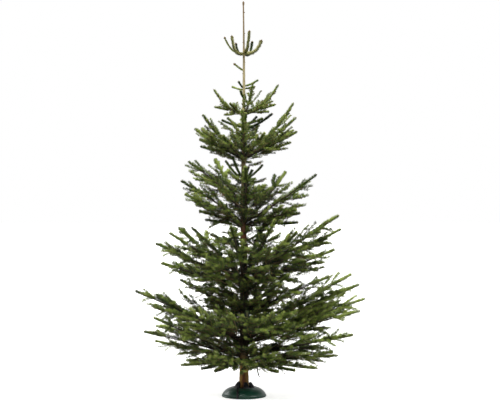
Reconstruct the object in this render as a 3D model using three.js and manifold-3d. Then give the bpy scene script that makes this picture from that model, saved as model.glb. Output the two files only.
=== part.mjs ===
// A natural fir christmas tree, freshly cut, held in a low round stand with five claws and a foot lever.
// Millimetres, +Z up. The origin is the centre of the stand's flat underside.
import * as THREE from "three";
import Module from "manifold-3d";

const kernel = await Module();
kernel.setup();

// Driving dimensions, in millimetres and degrees.
const treeHeight = 2500;
const cutHeight = 14.4; // the flat cut at the foot of the trunk
const clearance = 0.3; // between any two sub-parts that meet
const trunk = { foot: 31.5, tip: 4, taper: 1.15, flare: 3.5, sides: 10, lean: -4, sway: 3 };
const whorlHeights = [230, 336, 670, 1090, 1513, 1796, 2170];
const stand = { radius: 141, height: 57, rim: 76, mouth: 69, floor: 14, edge: 9, sides: 28 };
const claw = { count: 5, width: 16, first: 6, ring: 9, tip: 93 };
const lever = { aside: -40, width: 13, thickness: 8, post: 37, foot: 2 };
const spray = { lift: 0.2, pitch: 1.5, thick: 3, web: 0.5, roll: 55 }; // pitch and web in half-widths
const growthSeed = 6; // which of the possible trees grows
const sectorLeast = 20; // degrees to each side of a limb that its mass may always use
const fan = { angle: 52, share: 0.6, shortest: 90, slope: 0.36, follow: 0.42, crossing: 90, throws: 4 };
const needleColour = "#4f6f33";
const barkColour = "#9a7448";

const rad = (degrees) => (degrees * Math.PI) / 180;
const point = (x, y, z) => new THREE.Vector3(x, y, z);
const up = point(0, 0, 1);

// Seeded dice: the same seed always grows the same limb.
function seeded(seed) {
  let state = seed >>> 0;
  return () => {
    state = (state + 0x6d2b79f5) >>> 0;
    let mixed = Math.imul(state ^ (state >>> 15), state | 1);
    mixed ^= mixed + Math.imul(mixed ^ (mixed >>> 7), mixed | 61);
    return ((mixed ^ (mixed >>> 14)) >>> 0) / 4294967296;
  };
}

// Closed solids from points and faces, for the boolean kernel and back.
function solidFrom(points, faces) {
  const vertProperties = new Float32Array(points.flatMap((p) => [p.x, p.y, p.z]));
  const triVerts = new Uint32Array(faces.flat());
  return new kernel.Manifold(new kernel.Mesh({ numProp: 3, vertProperties, triVerts }));
}

function solidFromGeometry(geometry) {
  const position = geometry.getAttribute("position");
  const keys = new Map();
  const points = [];
  const number = [];
  for (let i = 0; i < position.count; i += 1) {
    const p = point(position.getX(i), position.getY(i), position.getZ(i));
    const key = [p.x, p.y, p.z].map((value) => Math.round(value * 1000)).join();
    if (!keys.has(key)) {
      keys.set(key, points.length);
      points.push(p);
    }
    number.push(keys.get(key));
  }
  const order = geometry.index ? [...geometry.index.array] : number.map((_, i) => i);
  const faces = [];
  for (let i = 0; i < order.length; i += 3) {
    const face = [number[order[i]], number[order[i + 1]], number[order[i + 2]]];
    if (new Set(face).size === 3) faces.push(face);
  }
  return solidFrom(points, faces);
}

function geometryFrom(solid) {
  const mesh = solid.getMesh();
  const stride = mesh.numProp;
  const position = new Float32Array((mesh.vertProperties.length / stride) * 3);
  for (let i = 0; i < position.length / 3; i += 1) {
    for (let axis = 0; axis < 3; axis += 1) {
      position[i * 3 + axis] = mesh.vertProperties[i * stride + axis];
    }
  }
  const geometry = new THREE.BufferGeometry();
  geometry.setAttribute("position", new THREE.BufferAttribute(position, 3));
  geometry.setIndex([...mesh.triVerts]);
  geometry.computeVertexNormals();
  return geometry;
}

// Fuses pieces and keeps the one body: hollows that fusing seals are filled and loose scraps dropped.
function fuse(pieces) {
  const bodies = kernel.Manifold.union(pieces).decompose();
  return bodies.reduce((best, body) => (body.volume() > best.volume() ? body : best));
}

// The trunk: nearly straight, tapering, with a slight swelling at each whorl and a bud at the tip.
function trunkRadius(z) {
  const share = Math.max(0, 1 - z / treeHeight);
  const plain = trunk.tip + (trunk.foot - trunk.tip) * share ** trunk.taper;
  const flare = trunk.flare * Math.exp((cutHeight - z) / 45);
  const swell = whorlHeights.reduce((sum, h) => sum + 0.13 * Math.exp(-(((z - h) / 24) ** 2)), 0);
  return plain * (1 + swell) + flare;
}

function trunkAxis(z) {
  const x = trunk.lean * (z / treeHeight) + trunk.sway * Math.sin(z / 260) * (z / treeHeight);
  const y = trunk.sway * Math.sin(z / 410 + 0.8) * (z / treeHeight);
  return point(x, y, z);
}

function loft(rings, sides) {
  const points = [];
  const faces = [];
  rings.forEach((ring) => {
    for (let i = 0; i < sides; i += 1) {
      const turn = (2 * Math.PI * i) / sides + (ring.twist ?? 0);
      const across = ring.across.clone().multiplyScalar(ring.radius * Math.cos(turn));
      const along = ring.along.clone().multiplyScalar(ring.radius * Math.sin(turn));
      points.push(ring.centre.clone().add(across).add(along));
    }
  });
  for (let j = 0; j + 1 < rings.length; j += 1) {
    for (let i = 0; i < sides; i += 1) {
      const a = j * sides + i;
      const b = j * sides + ((i + 1) % sides);
      faces.push([a, b, b + sides], [a, b + sides, a + sides]);
    }
  }
  const last = (rings.length - 1) * sides;
  for (let i = 1; i + 1 < sides; i += 1) {
    faces.push([0, i + 1, i], [last, last + i, last + i + 1]);
  }
  return solidFrom(points, faces);
}

function trunkHeights() {
  const heights = [cutHeight, cutHeight + 26, cutHeight + 80];
  whorlHeights.forEach((h) => heights.push(h - 30, h, h + 30));
  [510, 880, 1300, 1980].forEach((z) => heights.push(z));
  return heights.sort((a, b) => a - b);
}

function trunkSolid(extra = 0) {
  const ringAt = (z, radius) => {
    return { centre: trunkAxis(z), radius, across: point(1, 0, 0), along: point(0, 1, 0) };
  };
  const rings = trunkHeights().map((z) => ringAt(z, trunkRadius(z) + extra));
  const bud = [[-46, 4.2], [-30, 4.4], [-20, 6.4], [-9, 6.2], [0, 1.4]];
  bud.forEach(([drop, radius]) => rings.push(ringAt(treeHeight + drop, radius + extra)));
  return loft(rings, trunk.sides);
}

// Curves: a main limb leaves the trunk and turns up; a side twig leaves another curve.
function limbCurve({ height, turn, reach, rise, bend = 1.3, sway = 0 }) {
  const foot = trunkAxis(height);
  const at = (t) => {
    const heading = rad(turn + sway * (t - 1));
    const out = reach * t;
    const lift = rise * Math.sign(t) * Math.abs(t) ** bend;
    return point(foot.x + out * Math.cos(heading), foot.y + out * Math.sin(heading), height + lift);
  };
  return { at, length: Math.hypot(reach, rise) };
}

function sideCurve(parent, t, side, length, angle, slope, lift) {
  const foot = parent.at(t);
  const ahead = parent.at(t + 0.01).sub(parent.at(t - 0.01));
  const flat = Math.hypot(ahead.x, ahead.y);
  const start = Math.atan2(ahead.y, ahead.x) + side * rad(angle);
  const climb = (ahead.z / flat) * fan.follow + slope;
  const at = (s) => {
    const heading = start - side * rad(16) * s;
    const out = length * s;
    const rise = out * climb + length * lift * s * s;
    return point(foot.x + out * Math.cos(heading), foot.y + out * Math.sin(heading), foot.z + rise);
  };
  return { at, length };
}

function frameAt(curve, t) {
  const ahead = curve.at(t + 0.005).sub(curve.at(t - 0.005)).normalize();
  const left = up.clone().cross(ahead).normalize();
  return { ahead, left, above: ahead.clone().cross(left) };
}

// A bare limb or twig: a tapering tube along a curve.
function tube(curve, from, to, thick, thin, steps, sides) {
  const rings = [];
  for (let i = 0; i <= steps; i += 1) {
    const t = from + ((to - from) * i) / steps;
    const { left, above } = frameAt(curve, t);
    const radius = thick + ((thin - thick) * i) / steps;
    rings.push({ centre: curve.at(t), radius, across: left, along: above, twist: Math.PI / sides });
  }
  return loft(rings, sides);
}

// A spray of needles along a curve: a thin web with a ridge on top, whose edges are cut into teeth.
// A round spray has a slim core and a third row of teeth. The first `bare` steps carry none.
function needleSpray(curve, from, to, { round = false, bare = 0, roll = 0, reach, core }) {
  const length = curve.length * (to - from);
  const steps = Math.max(2, Math.round(length / (reach * spray.pitch))) + bare;
  const thick = core ?? spray.thick;
  const points = [];
  const faces = [];
  const turned = (frame, x, y) => {
    const c = Math.cos(rad(roll));
    const s = Math.sin(rad(roll));
    return frame.left.clone().multiplyScalar(x * c - y * s).add(frame.above.clone().multiplyScalar(x * s + y * c));
  };
  const swell = (share) => Math.sin(Math.PI * (0.1 + 0.72 * share));
  for (let i = 0; i < steps; i += 1) {
    const t = from + ((to - from) * i) / steps;
    const half = round ? thick : Math.max(thick, spray.web * reach * swell(i / steps) * (i > 0 ? 1 : 0));
    const high = thick * (1 - 0.4 * (i / steps));
    const frame = frameAt(curve, t);
    [[half, -0.4 * high], [-half, -0.4 * high], [0, high]].forEach(([x, y]) => {
      points.push(curve.at(t).add(turned(frame, x, y)));
    });
  }
  const tip = points.length;
  points.push(curve.at(to));
  const sideOf = [1, -1, 0];
  for (let i = 0; i < steps; i += 1) {
    const ending = i === steps - 1;
    const middle = from + ((to - from) * (i + 0.95)) / steps;
    const frame = frameAt(curve, middle);
    const grow = swell((i + 1) / steps) * reach;
    [[2, 0], [1, 2], [0, 1]].forEach(([p, q], row) => {
      // Face `row` of the core: left and above, right and above, or underneath.
      const a = i * 3 + p;
      const b = i * 3 + q;
      const c = ending ? tip : a + 3;
      const d = ending ? tip : b + 3;
      if (i >= bare && (row < 2 || round)) {
        const apex = points.length;
        const high = row < 2 ? grow * spray.lift : -0.7 * grow;
        points.push(curve.at(middle).add(turned(frame, sideOf[row] * grow, high)));
        faces.push([a, c, apex], [b, a, apex], [d, b, apex]);
        if (!ending) faces.push([c, d, apex]);
      } else {
        faces.push(ending ? [a, tip, b] : [a, c, d]);
        if (!ending) faces.push([a, d, b]);
      }
    });
  }
  faces.push([0, 1, 2]);
  return solidFrom(points, faces);
}

// The tiers of limbs, from the ground up. Each limb is [turn, reach, rise, step, bend]: turn 0 is +X and
// 270 the front, step is how far above the tier's height it leaves the trunk, and it arches where bend is
// under 1. `bough` is the share of a limb that is bare wood, a sub-part of its own; `wide` is half a
// spray's width.
const tiers = [
  {
    name: "lowest_foliage", height: 228, root: 7, wide: 70, nodes: [0.3, 0.56, 0.8],
    limbs: [
      [22, 620, 30, -6, 1.1], [96, 500, 70, 0, 1.1], [148, 440, -20, -10, 1.1], [180, 560, 125, -4, 0.9],
      [208, 620, 280, 14, 1], [246, 490, 70, 0, 1.1], [292, 480, 80, -6, 1.1], [338, 720, 175, 12, 0.9],
    ],
  },
  {
    name: "lower_foliage", limb: "lower_bough", bough: 0.28, height: 336, root: 11, wide: 72,
    nodes: [0.38, 0.56, 0.74, 0.88],
    limbs: [
      [3, 766, 288, -10, 0.9], [25, 772, 405, 10, 0.85], [92, 640, 250, 0, 0.9],
      [174, 695, 325, 0, 0.9], [236, 630, 235, 6, 0.9], [296, 640, 240, -6, 0.9],
    ],
  },
  {
    name: "inner_foliage", height: 510, root: 6, wide: 66, nodes: [0.34, 0.58, 0.8],
    limbs: [[66, 520, 260, 0, 1.1], [200, 420, 225, 10, 1], [328, 610, 275, -10, 0.9]],
  },
  {
    name: "middle_foliage", height: 670, root: 9, wide: 68, nodes: [0.26, 0.48, 0.7, 0.86],
    limbs: [
      [14, 600, 260, -10, 0.85], [76, 550, 400, 12, 0.9], [140, 560, 390, -4, 0.9], [174, 562, 285, 10, 0.85],
      [206, 560, 190, -8, 0.9], [262, 540, 410, 4, 0.9], [308, 520, 385, -8, 0.9], [344, 610, 460, 14, 0.85],
    ],
  },
  {
    name: "upper_foliage", height: 1090, root: 7, wide: 60, nodes: [0.26, 0.52, 0.78],
    limbs: [
      [50, 425, 335, 0, 1.1], [118, 400, 400, 20, 1], [162, 372, 385, 10, 0.6], [190, 395, 270, 0, 0.85],
      [216, 440, 195, -10, 0.9], [272, 370, 340, 10, 1], [326, 390, 100, -10, 1], [354, 460, 300, 10, 1.15],
    ],
  },
  {
    name: "high_foliage", height: 1513, root: 6, wide: 48, nodes: [0.28, 0.54, 0.8],
    limbs: [
      [22, 345, 175, 0, 1.3], [90, 260, 290, 0, 1.5], [158, 336, 190, -6, 1.3],
      [208, 285, 250, 6, 1.5], [268, 250, 280, 0, 1.6], [338, 335, 330, 0, 1.5],
    ],
  },
  {
    name: "top_foliage", height: 1786, root: 4.5, wide: 36, nodes: [0.36, 0.7],
    limbs: [
      [356, 218, 180, 0, 2], [50, 220, 100, 0, 1.7], [126, 190, 50, 0, 1.4], [186, 188, 150, 0, 2],
      [292, 150, 180, 0, 1.8],
    ],
  },
];

// Single shoots on the trunk: the candelabra under the leader and the small ones between the tiers.
const shoots = [
  {
    name: "crown_shoot", height: 2166, bend: 2.1, root: 2.9,
    limbs: [[352, 114, 84, 0], [62, 112, 92, -4], [176, 120, 100, 2], [226, 108, 112, -6], [292, 92, 128, 4]],
  },
  { name: "leader_shoot", height: 2060, bend: 1.2, root: 3.2, limbs: [[186, 58, 36, 0]] },
];

const group = new THREE.Group();
const placed = [];
const stems = [];

function addPart(name, solid, colour, roughness) {
  const material = new THREE.MeshStandardMaterial({ color: colour, roughness, metalness: 0 });
  const mesh = new THREE.Mesh(geometryFrom(solid), material);
  mesh.name = name;
  group.add(mesh);
  placed.push({ name, solid, box: solid.boundingBox() });
}

function apart(one, two, gap) {
  return [0, 1, 2].some((i) => one.min[i] > two.max[i] + gap || two.min[i] > one.max[i] + gap);
}

// True when a piece keeps its clearance from every sub-part placed so far and every other mass's stem.
function isClear(piece, own) {
  const box = piece.boundingBox();
  return [...placed, ...stems].every(({ solid, box: other }) => {
    if (solid === own || apart(box, other, 2 * clearance)) return true;
    return piece.minGap(solid, 4 * clearance) > 1.2 * clearance;
  });
}

// The stand: a domed dish on a flat underside, a ring of claws that grips the trunk and a foot lever.
function domeProfile(grow) {
  const profile = [];
  for (let i = 0; i <= 5; i += 1) {
    const turn = rad((90 * i) / 5);
    const out = stand.rim + (stand.radius - stand.rim) * Math.cos(turn);
    const high = stand.edge + (stand.height - stand.edge) * Math.sin(turn) ** 1.5;
    profile.push([out + grow * Math.cos(turn), high + grow * Math.sin(turn)]);
  }
  return profile;
}

function turned(profile, sides) {
  const points = profile.map(([r, z]) => new THREE.Vector2(r, z));
  return solidFromGeometry(new THREE.LatheGeometry(points, sides).rotateX(Math.PI / 2));
}

function slab(outline, width, turn) {
  const shape = new THREE.Shape(outline.map(([r, z]) => new THREE.Vector2(r, z)));
  const geometry = new THREE.ExtrudeGeometry(shape, { depth: width, bevelEnabled: false });
  geometry.translate(0, 0, -width / 2).rotateX(Math.PI / 2).rotateZ(rad(turn));
  return solidFromGeometry(geometry);
}

function dishSolid() {
  const foot = [[0, 0], [stand.radius - 6, 0], [stand.radius - 1, 4]];
  const mouth = [[stand.mouth + 2, stand.height], [stand.mouth, stand.height - 3], [stand.mouth, stand.floor + 6]];
  const inside = [[stand.mouth - 6, stand.floor], [0, stand.floor]];
  return turned([...foot, ...domeProfile(0), ...mouth, ...inside], stand.sides);
}

function clawSolid(clearTrunk) {
  const outer = stand.mouth - 0.4;
  const top = stand.height - 5;
  const ring = [[outer - claw.ring, top - 10], [outer, top - 12], [outer, top]];
  const grip = trunkRadius(claw.tip) - 2;
  const hook = [
    [outer - 5, top - 9], [outer - 1.5, top - 6], [outer - 2, top + 6], [outer - 21, claw.tip - 7],
    [grip + 5, claw.tip], [grip, claw.tip - 2], [grip, claw.tip - 17], [outer - 28, claw.tip - 24],
    [outer - 15, top - 4],
  ];
  const pieces = [turned([...ring, ring[0]], stand.sides)];
  for (let i = 0; i < claw.count; i += 1) {
    pieces.push(slab(hook, claw.width, claw.first + (360 * i) / claw.count));
  }
  return fuse(pieces).subtract(clearTrunk);
}

// The lever lies in an upright plane to one side of the axis, down the front of the dome.
function leverSolid() {
  const near = Math.abs(lever.aside) - lever.width / 2;
  const inPlane = ([r, z]) => [Math.sqrt(r * r - near * near), z];
  const under = domeProfile(0.6).map(inPlane);
  const over = domeProfile(lever.thickness).map(inPlane).slice(0, -1).reverse();
  const inner = under[under.length - 1][0];
  const top = stand.height + lever.post;
  const post = [[inner, top - 3], [inner + 3, top], [inner + 8, top], [inner + 11, top - 3]];
  const foot = [[over[over.length - 1][0], lever.foot], [under[0][0], lever.foot]];
  return slab([...under, ...post, ...over, ...foot], lever.width, -90).translate(lever.aside, 0, 0);
}

const clearTrunk = trunkSolid(clearance * 1.08);
addPart("trunk", trunkSolid(), barkColour, 0.85);
addPart("stand_dish", dishSolid(), "#1f4a36", 0.35);
addPart("stand_claws", clawSolid(clearTrunk), "#17171b", 0.5);
addPart("stand_lever", leverSolid(), "#17171b", 0.45);

// A side spray from one point of a limb, at a seeded angle, slope and roll.
function sideSpray(limb, t, side, dice, wide) {
  const length = (1 - t + 0.06) * limb.length * fan.share * (0.88 + 0.24 * dice());
  const angle = fan.angle - 10 + 20 * dice();
  const slope = fan.slope * (2 * dice() - 1);
  const roll = spray.roll * (2 * dice() - 1);
  const twig = sideCurve(limb, t, side, Math.max(fan.shortest, length), angle, slope, 0.12);
  return { solid: needleSpray(twig, 0, 1, { roll, reach: wide }), tip: twig.at(1) };
}

// True when a spray crosses none of the mass's other sprays, past the roots that they share.
function crossesNone(solid, sprays) {
  const box = solid.boundingBox();
  return sprays.every((other) => {
    if (apart(box, other.boundingBox(), 0)) return true;
    return solid.intersect(other).volume() < fan.crossing;
  });
}

// One mass of foliage: a stem that carries on its limb, with sprays that keep to the limb's own sector.
// A spray that leaves the sector, crosses another or comes too near a limb is thrown again, then skipped.
function foliage({ limb, stem, start, tier, seed }, sector) {
  const dice = seeded(growthSeed * 1000 + seed);
  const sprays = [needleSpray(limb, 0.82, 1, { round: true, roll: 180, reach: tier.wide * 0.8 })];
  tier.nodes.forEach((node) => {
    [-1, 1].forEach((side) => {
      const t = node + 0.03 * side * (1 - node);
      for (let attempt = 0; attempt < fan.throws; attempt += 1) {
        const { solid, tip } = sideSpray(limb, t, side, dice, tier.wide);
        if (sector(tip) && crossesNone(solid, sprays) && isClear(solid, stem)) {
          sprays.push(solid);
          break;
        }
      }
    });
  });
  const whole = fuse([stem, ...sprays]).simplify(0.6);
  return start > 0 ? whole : fuse([whole.subtract(clearTrunk)]);
}

// A limb's sector runs half-way to its neighbours of the same tier, and never less than sectorLeast.
function sectorOf(turn, turns) {
  const gaps = turns.filter((other) => other !== turn).map((other) => ((other - turn) % 360 + 360) % 360);
  const ahead = Math.max(sectorLeast, Math.min(...gaps, 150) / 2 + 2);
  const behind = Math.max(sectorLeast, Math.min(...gaps.map((gap) => 360 - gap), 150) / 2 + 2);
  return (tip) => {
    const away = (((THREE.MathUtils.radToDeg(Math.atan2(tip.y, tip.x)) - turn) % 360) + 540) % 360 - 180;
    return away < ahead && away > -behind;
  };
}

function stemOf(limb, start, tier) {
  const from = start > 0 ? start + clearance / limb.length : 0;
  const thick = start > 0 ? tier.root * (1 - 0.75 * start) : tier.root;
  return tube(limb, from, 0.88, thick, 2.4, 4, 3);
}

// The bare boughs and the masses' stems come first, so that every spray grown later keeps clear of them.
const masses = [];
tiers.forEach((tier, level) => {
  const turns = tier.limbs.map(([turn]) => turn);
  tier.limbs.forEach(([turn, reach, rise, step, bend], i) => {
    const dice = seeded(900 + level * 20 + i);
    const height = tier.height + step;
    const limb = limbCurve({ height, turn, reach, rise, bend, sway: 12 * dice() - 6 });
    if (tier.bough) {
      const wood = tube(limb, 0, tier.bough, tier.root, tier.root * (1 - 0.75 * tier.bough), 4, 6);
      addPart(`${tier.limb}_${i + 1}`, fuse([wood.subtract(clearTrunk)]), barkColour, 0.85);
    }
    const start = tier.bough ?? 0;
    const stem = stemOf(limb, start, tier);
    const name = `${tier.name}_${i + 1}`;
    stems.push({ name, solid: stem, box: stem.boundingBox() });
    masses.push({ name, limb, stem, start, tier, turn, turns, seed: 100 + level * 20 + i });
  });
});
masses.forEach((mass) => {
  addPart(mass.name, foliage(mass, sectorOf(mass.turn, mass.turns)), needleColour, 0.9);
});

shoots.forEach(({ name, height, bend, root, limbs }) => {
  limbs.forEach(([turn, reach, rise, step], i) => {
    const limb = limbCurve({ height: height + step, turn, reach, rise, bend });
    const round = needleSpray(limb, 0, 1, { round: true, roll: 180, bare: 1, reach: 22, core: root });
    addPart(`${name}_${i + 1}`, fuse([round.subtract(clearTrunk)]), needleColour, 0.9);
  });
});

export default group;
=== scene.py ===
import math

import bpy
import numpy as np
from mathutils import Matrix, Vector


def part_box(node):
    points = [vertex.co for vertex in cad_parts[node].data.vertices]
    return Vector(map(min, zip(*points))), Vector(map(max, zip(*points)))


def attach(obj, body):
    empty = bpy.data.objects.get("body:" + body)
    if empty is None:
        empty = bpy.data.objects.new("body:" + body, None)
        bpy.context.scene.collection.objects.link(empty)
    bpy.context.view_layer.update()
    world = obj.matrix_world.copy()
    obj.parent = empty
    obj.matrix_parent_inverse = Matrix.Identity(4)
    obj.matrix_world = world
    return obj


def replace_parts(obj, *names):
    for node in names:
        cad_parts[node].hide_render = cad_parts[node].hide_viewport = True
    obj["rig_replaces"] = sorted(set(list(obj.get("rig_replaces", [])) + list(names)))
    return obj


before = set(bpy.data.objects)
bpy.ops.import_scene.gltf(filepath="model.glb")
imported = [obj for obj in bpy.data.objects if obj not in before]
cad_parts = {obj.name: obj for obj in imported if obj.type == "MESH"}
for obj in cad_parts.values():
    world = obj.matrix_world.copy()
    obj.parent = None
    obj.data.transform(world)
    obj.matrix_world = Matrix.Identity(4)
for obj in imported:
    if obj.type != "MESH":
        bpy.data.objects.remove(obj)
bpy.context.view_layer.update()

# A fresh-cut fir in a low round stand. Lengths are in millimetres until a mesh is made.
bpy.ops.object.select_all(action="DESELECT")
mm = 0.001


def linear(code):
    parts = [int(code[i:i + 2], 16) / 255 for i in (1, 3, 5)]
    return tuple(c / 12.92 if c <= 0.04045 else ((c + 0.055) / 1.055) ** 2.4 for c in parts) + (1.0,)


# Sockets go by name, or by number where names repeat: a colour Mix has its factor at 0, its colours at
# 6 and 7 and its result at 2. "stops" are a colour ramp's.
def addNode(tree, kind, settings={}, links={}):
    node = tree.nodes.new("ShaderNode" + kind)
    for key, value in settings.items():
        if key == "stops":
            stops = node.color_ramp.elements
            while len(stops) < len(value):
                stops.new(0.5)
            for stop, (at, code) in zip(stops, value):
                stop.position = at
                stop.color = linear(code)
        elif isinstance(key, int) or key in node.inputs:
            node.inputs[key].default_value = value
        else:
            setattr(node, key, value)
    for key, source in links.items():
        tree.links.new(source, node.inputs[key])
    return node


def newMaterial(name):
    material = bpy.data.materials.new(name)
    material.use_nodes = True
    tree = material.node_tree
    tree.nodes.clear()
    return material, tree, addNode(tree, "TexCoord").outputs["Object"]


def fromArrays(name, points, faces, materials, slots):
    mesh = bpy.data.meshes.new(name)
    mesh.vertices.add(len(points))
    mesh.vertices.foreach_set("co", (points * mm).astype(np.float32).ravel())
    mesh.loops.add(faces.size)
    mesh.loops.foreach_set("vertex_index", faces.astype(np.int32).ravel())
    mesh.polygons.add(len(faces))
    mesh.polygons.foreach_set("loop_start", np.arange(0, faces.size, faces.shape[1], dtype=np.int32))
    for material in materials:
        mesh.materials.append(material)
    mesh.polygons.foreach_set("material_index", slots.astype(np.int32))
    mesh.update(calc_edges=True)
    piece = bpy.data.objects.new(name, mesh)
    bpy.context.scene.collection.objects.link(piece)
    return piece


def isPart(piece, slot, *nodes):
    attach(piece, "root")
    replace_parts(piece, *nodes)


# The first throw of the source's seeded dice, from 0 to 1, for the same sway in a limb.
def firstThrow(seed):
    s = (seed + 0x6D2B79F5) & 0xFFFFFFFF
    mixed = ((s ^ (s >> 15)) * (s | 1)) & 0xFFFFFFFF
    mixed ^= (mixed + (((mixed ^ (mixed >> 7)) * (mixed | 61)) & 0xFFFFFFFF)) & 0xFFFFFFFF
    return ((mixed ^ (mixed >> 14)) & 0xFFFFFFFF) / 4294967296


stem = {
    "height": 2500, "cut": 14.4, "foot": 31.5, "tip": 4, "taper": 1.15, "flare": 3.5, "flareOver": 45,
    "whorls": [230, 336, 670, 1090, 1513, 1796, 2170], "swell": 0.13, "swellOver": 24,
    "lean": -4, "sway": 3, "waves": (260, 410), "phase": 0.8,
    "step": 12, "budFrom": 60, "bud": [(-46, 4.2), (-30, 4.4), (-20, 6.4), (-9, 6.2), (0, 1.4)],
}


def trunkRadius(z):
    share = max(0, 1 - z / stem["height"])
    plain = stem["tip"] + (stem["foot"] - stem["tip"]) * share ** stem["taper"]
    flare = stem["flare"] * math.exp((stem["cut"] - z) / stem["flareOver"])
    swell = sum(stem["swell"] * math.exp(-(((z - h) / stem["swellOver"]) ** 2)) for h in stem["whorls"])
    return plain * (1 + swell) + flare


def trunkAxis(z):
    share = z / stem["height"]
    x = stem["lean"] * share + stem["sway"] * np.sin(z / stem["waves"][0]) * share
    y = stem["sway"] * np.sin(z / stem["waves"][1] + stem["phase"]) * share
    return np.stack([x, y, np.asarray(z, float) + 0 * x], -1)


def limbCurve(height, turn, reach, rise, bend, sway=0):
    foot = trunkAxis(height)

    def at(t):
        t = np.asarray(t, float)
        heading = np.radians(turn + sway * (t - 1))
        lift = rise * np.sign(t) * np.abs(t) ** bend
        return foot + np.stack([reach * t * np.cos(heading), reach * t * np.sin(heading), lift], -1)

    return at, math.hypot(reach, rise)


# A yearly joint bears a twig to each side, a limb's also one above and below; short ones stand between.
growth = {
    "seed": 19, "orders": 2, "throws": 5, "shortest": 42, "full": 1.06, "vary": (0.88, 1.12),
    "angle": 56, "spread": 16, "slope": 0.3, "follow": 0.24, "steep": 0.3, "turnBack": 16,
    "waver": 0.05, "bends": 5, "jitter": 0.03, "lift": (0.4, 1.6), "nudge": 0.01,
    "between": 0.4, "betweenAt": (0.33, 0.67), "betweenLength": 0.5, "young": 4,
    "tilt": (0.35, 0.8), "tiltedLength": 0.62, "tiltedAngle": 0.6,
    "narrowest": 20, "widest": 150, "overlap": 4, "slack": 28, "slackUp": 1.4,
    "roll": 25, "step": 22, "fewest": 3, "more": 3, "size": (0.9, 1.1), "open": (0.86, 1.12),
    "limbTaper": 0.8, "limbTip": 1.2, "sway": 6, "swaySeed": 900, "seedStep": 20,
}


# A twig leaves to one side, turns back towards its parent's heading and lifts at its tip.
def sideCurve(parent, t, side, length, angle, slope, lift, waver):
    foot = parent(t)
    ahead = parent(t + growth["nudge"]) - parent(t - growth["nudge"])
    start = math.atan2(ahead[1], ahead[0]) + side * math.radians(angle)
    run = max(math.hypot(ahead[0], ahead[1]), growth["steep"] * abs(ahead[2]))
    climb = ahead[2] / run * growth["follow"] + slope

    def at(s):
        s = np.asarray(s, float)
        heading = start - side * math.radians(growth["turnBack"]) * s
        heading = heading + waver * np.sin(growth["bends"] * s)
        out = length * s
        rise = out * climb + length * lift * s * s
        return foot + np.stack([out * np.cos(heading), out * np.sin(heading), rise], -1)

    return at


# Limbs are turn, reach, rise, step and bend, as in the source; years is how many summers they have
# grown, and pieces how many sets of meshes a tier makes.
tiers = [
    {"name": "lowest", "height": 228, "root": 7, "years": 5, "share": 0.58, "lift": 0.06,
     "needle": 1.0, "pieces": 2, "limbs": [
         (22, 620, 30, -6, 1.1), (96, 500, 70, 0, 1.1), (148, 440, -20, -10, 1.1),
         (180, 560, 125, -4, 0.9), (208, 620, 280, 14, 1), (246, 490, 70, 0, 1.1),
         (292, 480, 80, -6, 1.1), (338, 720, 175, 12, 0.9)]},
    {"name": "lower", "height": 336, "root": 11, "years": 6, "share": 0.6, "lift": 0.12,
     "needle": 1.0, "pieces": 3, "limbs": [
         (3, 766, 288, -10, 0.9), (25, 772, 405, 10, 0.85), (92, 640, 250, 0, 0.9),
         (174, 695, 325, 0, 0.9), (236, 630, 235, 6, 0.9), (296, 640, 240, -6, 0.9)]},
    {"name": "inner", "height": 510, "root": 6, "years": 5, "share": 0.42, "lift": 0.1,
     "needle": 1.0, "limbs": [
         (66, 520, 260, 0, 1.1), (200, 420, 225, 10, 1), (328, 610, 275, -10, 0.9)]},
    {"name": "middle", "height": 670, "root": 9, "years": 5, "share": 0.6, "lift": 0.1,
     "needle": 1.0, "pieces": 2, "limbs": [
         (14, 600, 260, -10, 0.85), (76, 550, 400, 12, 0.9), (140, 560, 390, -4, 0.9),
         (174, 562, 285, 10, 0.85), (206, 560, 190, -8, 0.9), (262, 540, 410, 4, 0.9),
         (308, 520, 385, -8, 0.9), (344, 610, 460, 14, 0.85)]},
    {"name": "upper", "height": 1090, "root": 7, "years": 4, "share": 0.6, "lift": 0.16,
     "needle": 0.95, "pieces": 2, "limbs": [
         (50, 425, 335, 0, 1.1), (118, 400, 400, 20, 1), (162, 372, 385, 10, 0.6),
         (190, 395, 270, 0, 0.85), (216, 440, 195, -10, 0.9), (272, 370, 340, 10, 1),
         (326, 390, 100, -10, 1), (354, 460, 300, 10, 1.15)]},
    {"name": "high", "height": 1513, "root": 6, "years": 3, "share": 0.6, "lift": 0.34,
     "needle": 0.86, "limbs": [
         (22, 345, 175, 0, 1.3), (90, 260, 290, 0, 1.5), (158, 336, 190, -6, 1.3),
         (208, 285, 250, 6, 1.5), (268, 250, 280, 0, 1.6), (338, 335, 330, 0, 1.5)]},
    {"name": "top", "height": 1786, "root": 4.5, "years": 2, "share": 0.6, "lift": 0.5,
     "needle": 0.74, "limbs": [
         (356, 218, 180, 0, 2), (50, 220, 100, 0, 1.7), (126, 190, 50, 0, 1.4),
         (186, 188, 150, 0, 2), (292, 150, 180, 0, 1.8)]},
]
# Single shoots: turn, reach, rise, step, bend, their needles' length and colour.
crownShoots = [
    {"name": "crown_shoot", "height": 2166, "limbs": [
        (352, 111, 78, 0, 3.7, 1.12, 7), (62, 112, 88, -4, 5, 0.86, 2), (176, 120, 97, 2, 3, 0.62, 6),
        (226, 108, 104, -6, 5, 0.96, 7), (292, 92, 124, 4, 3.4, 1.08, 7)]},
    {"name": "leader_shoot", "height": 2060, "limbs": [(186, 58, 38, 0, 1.3, 0.6, 6)]},
]
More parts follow.
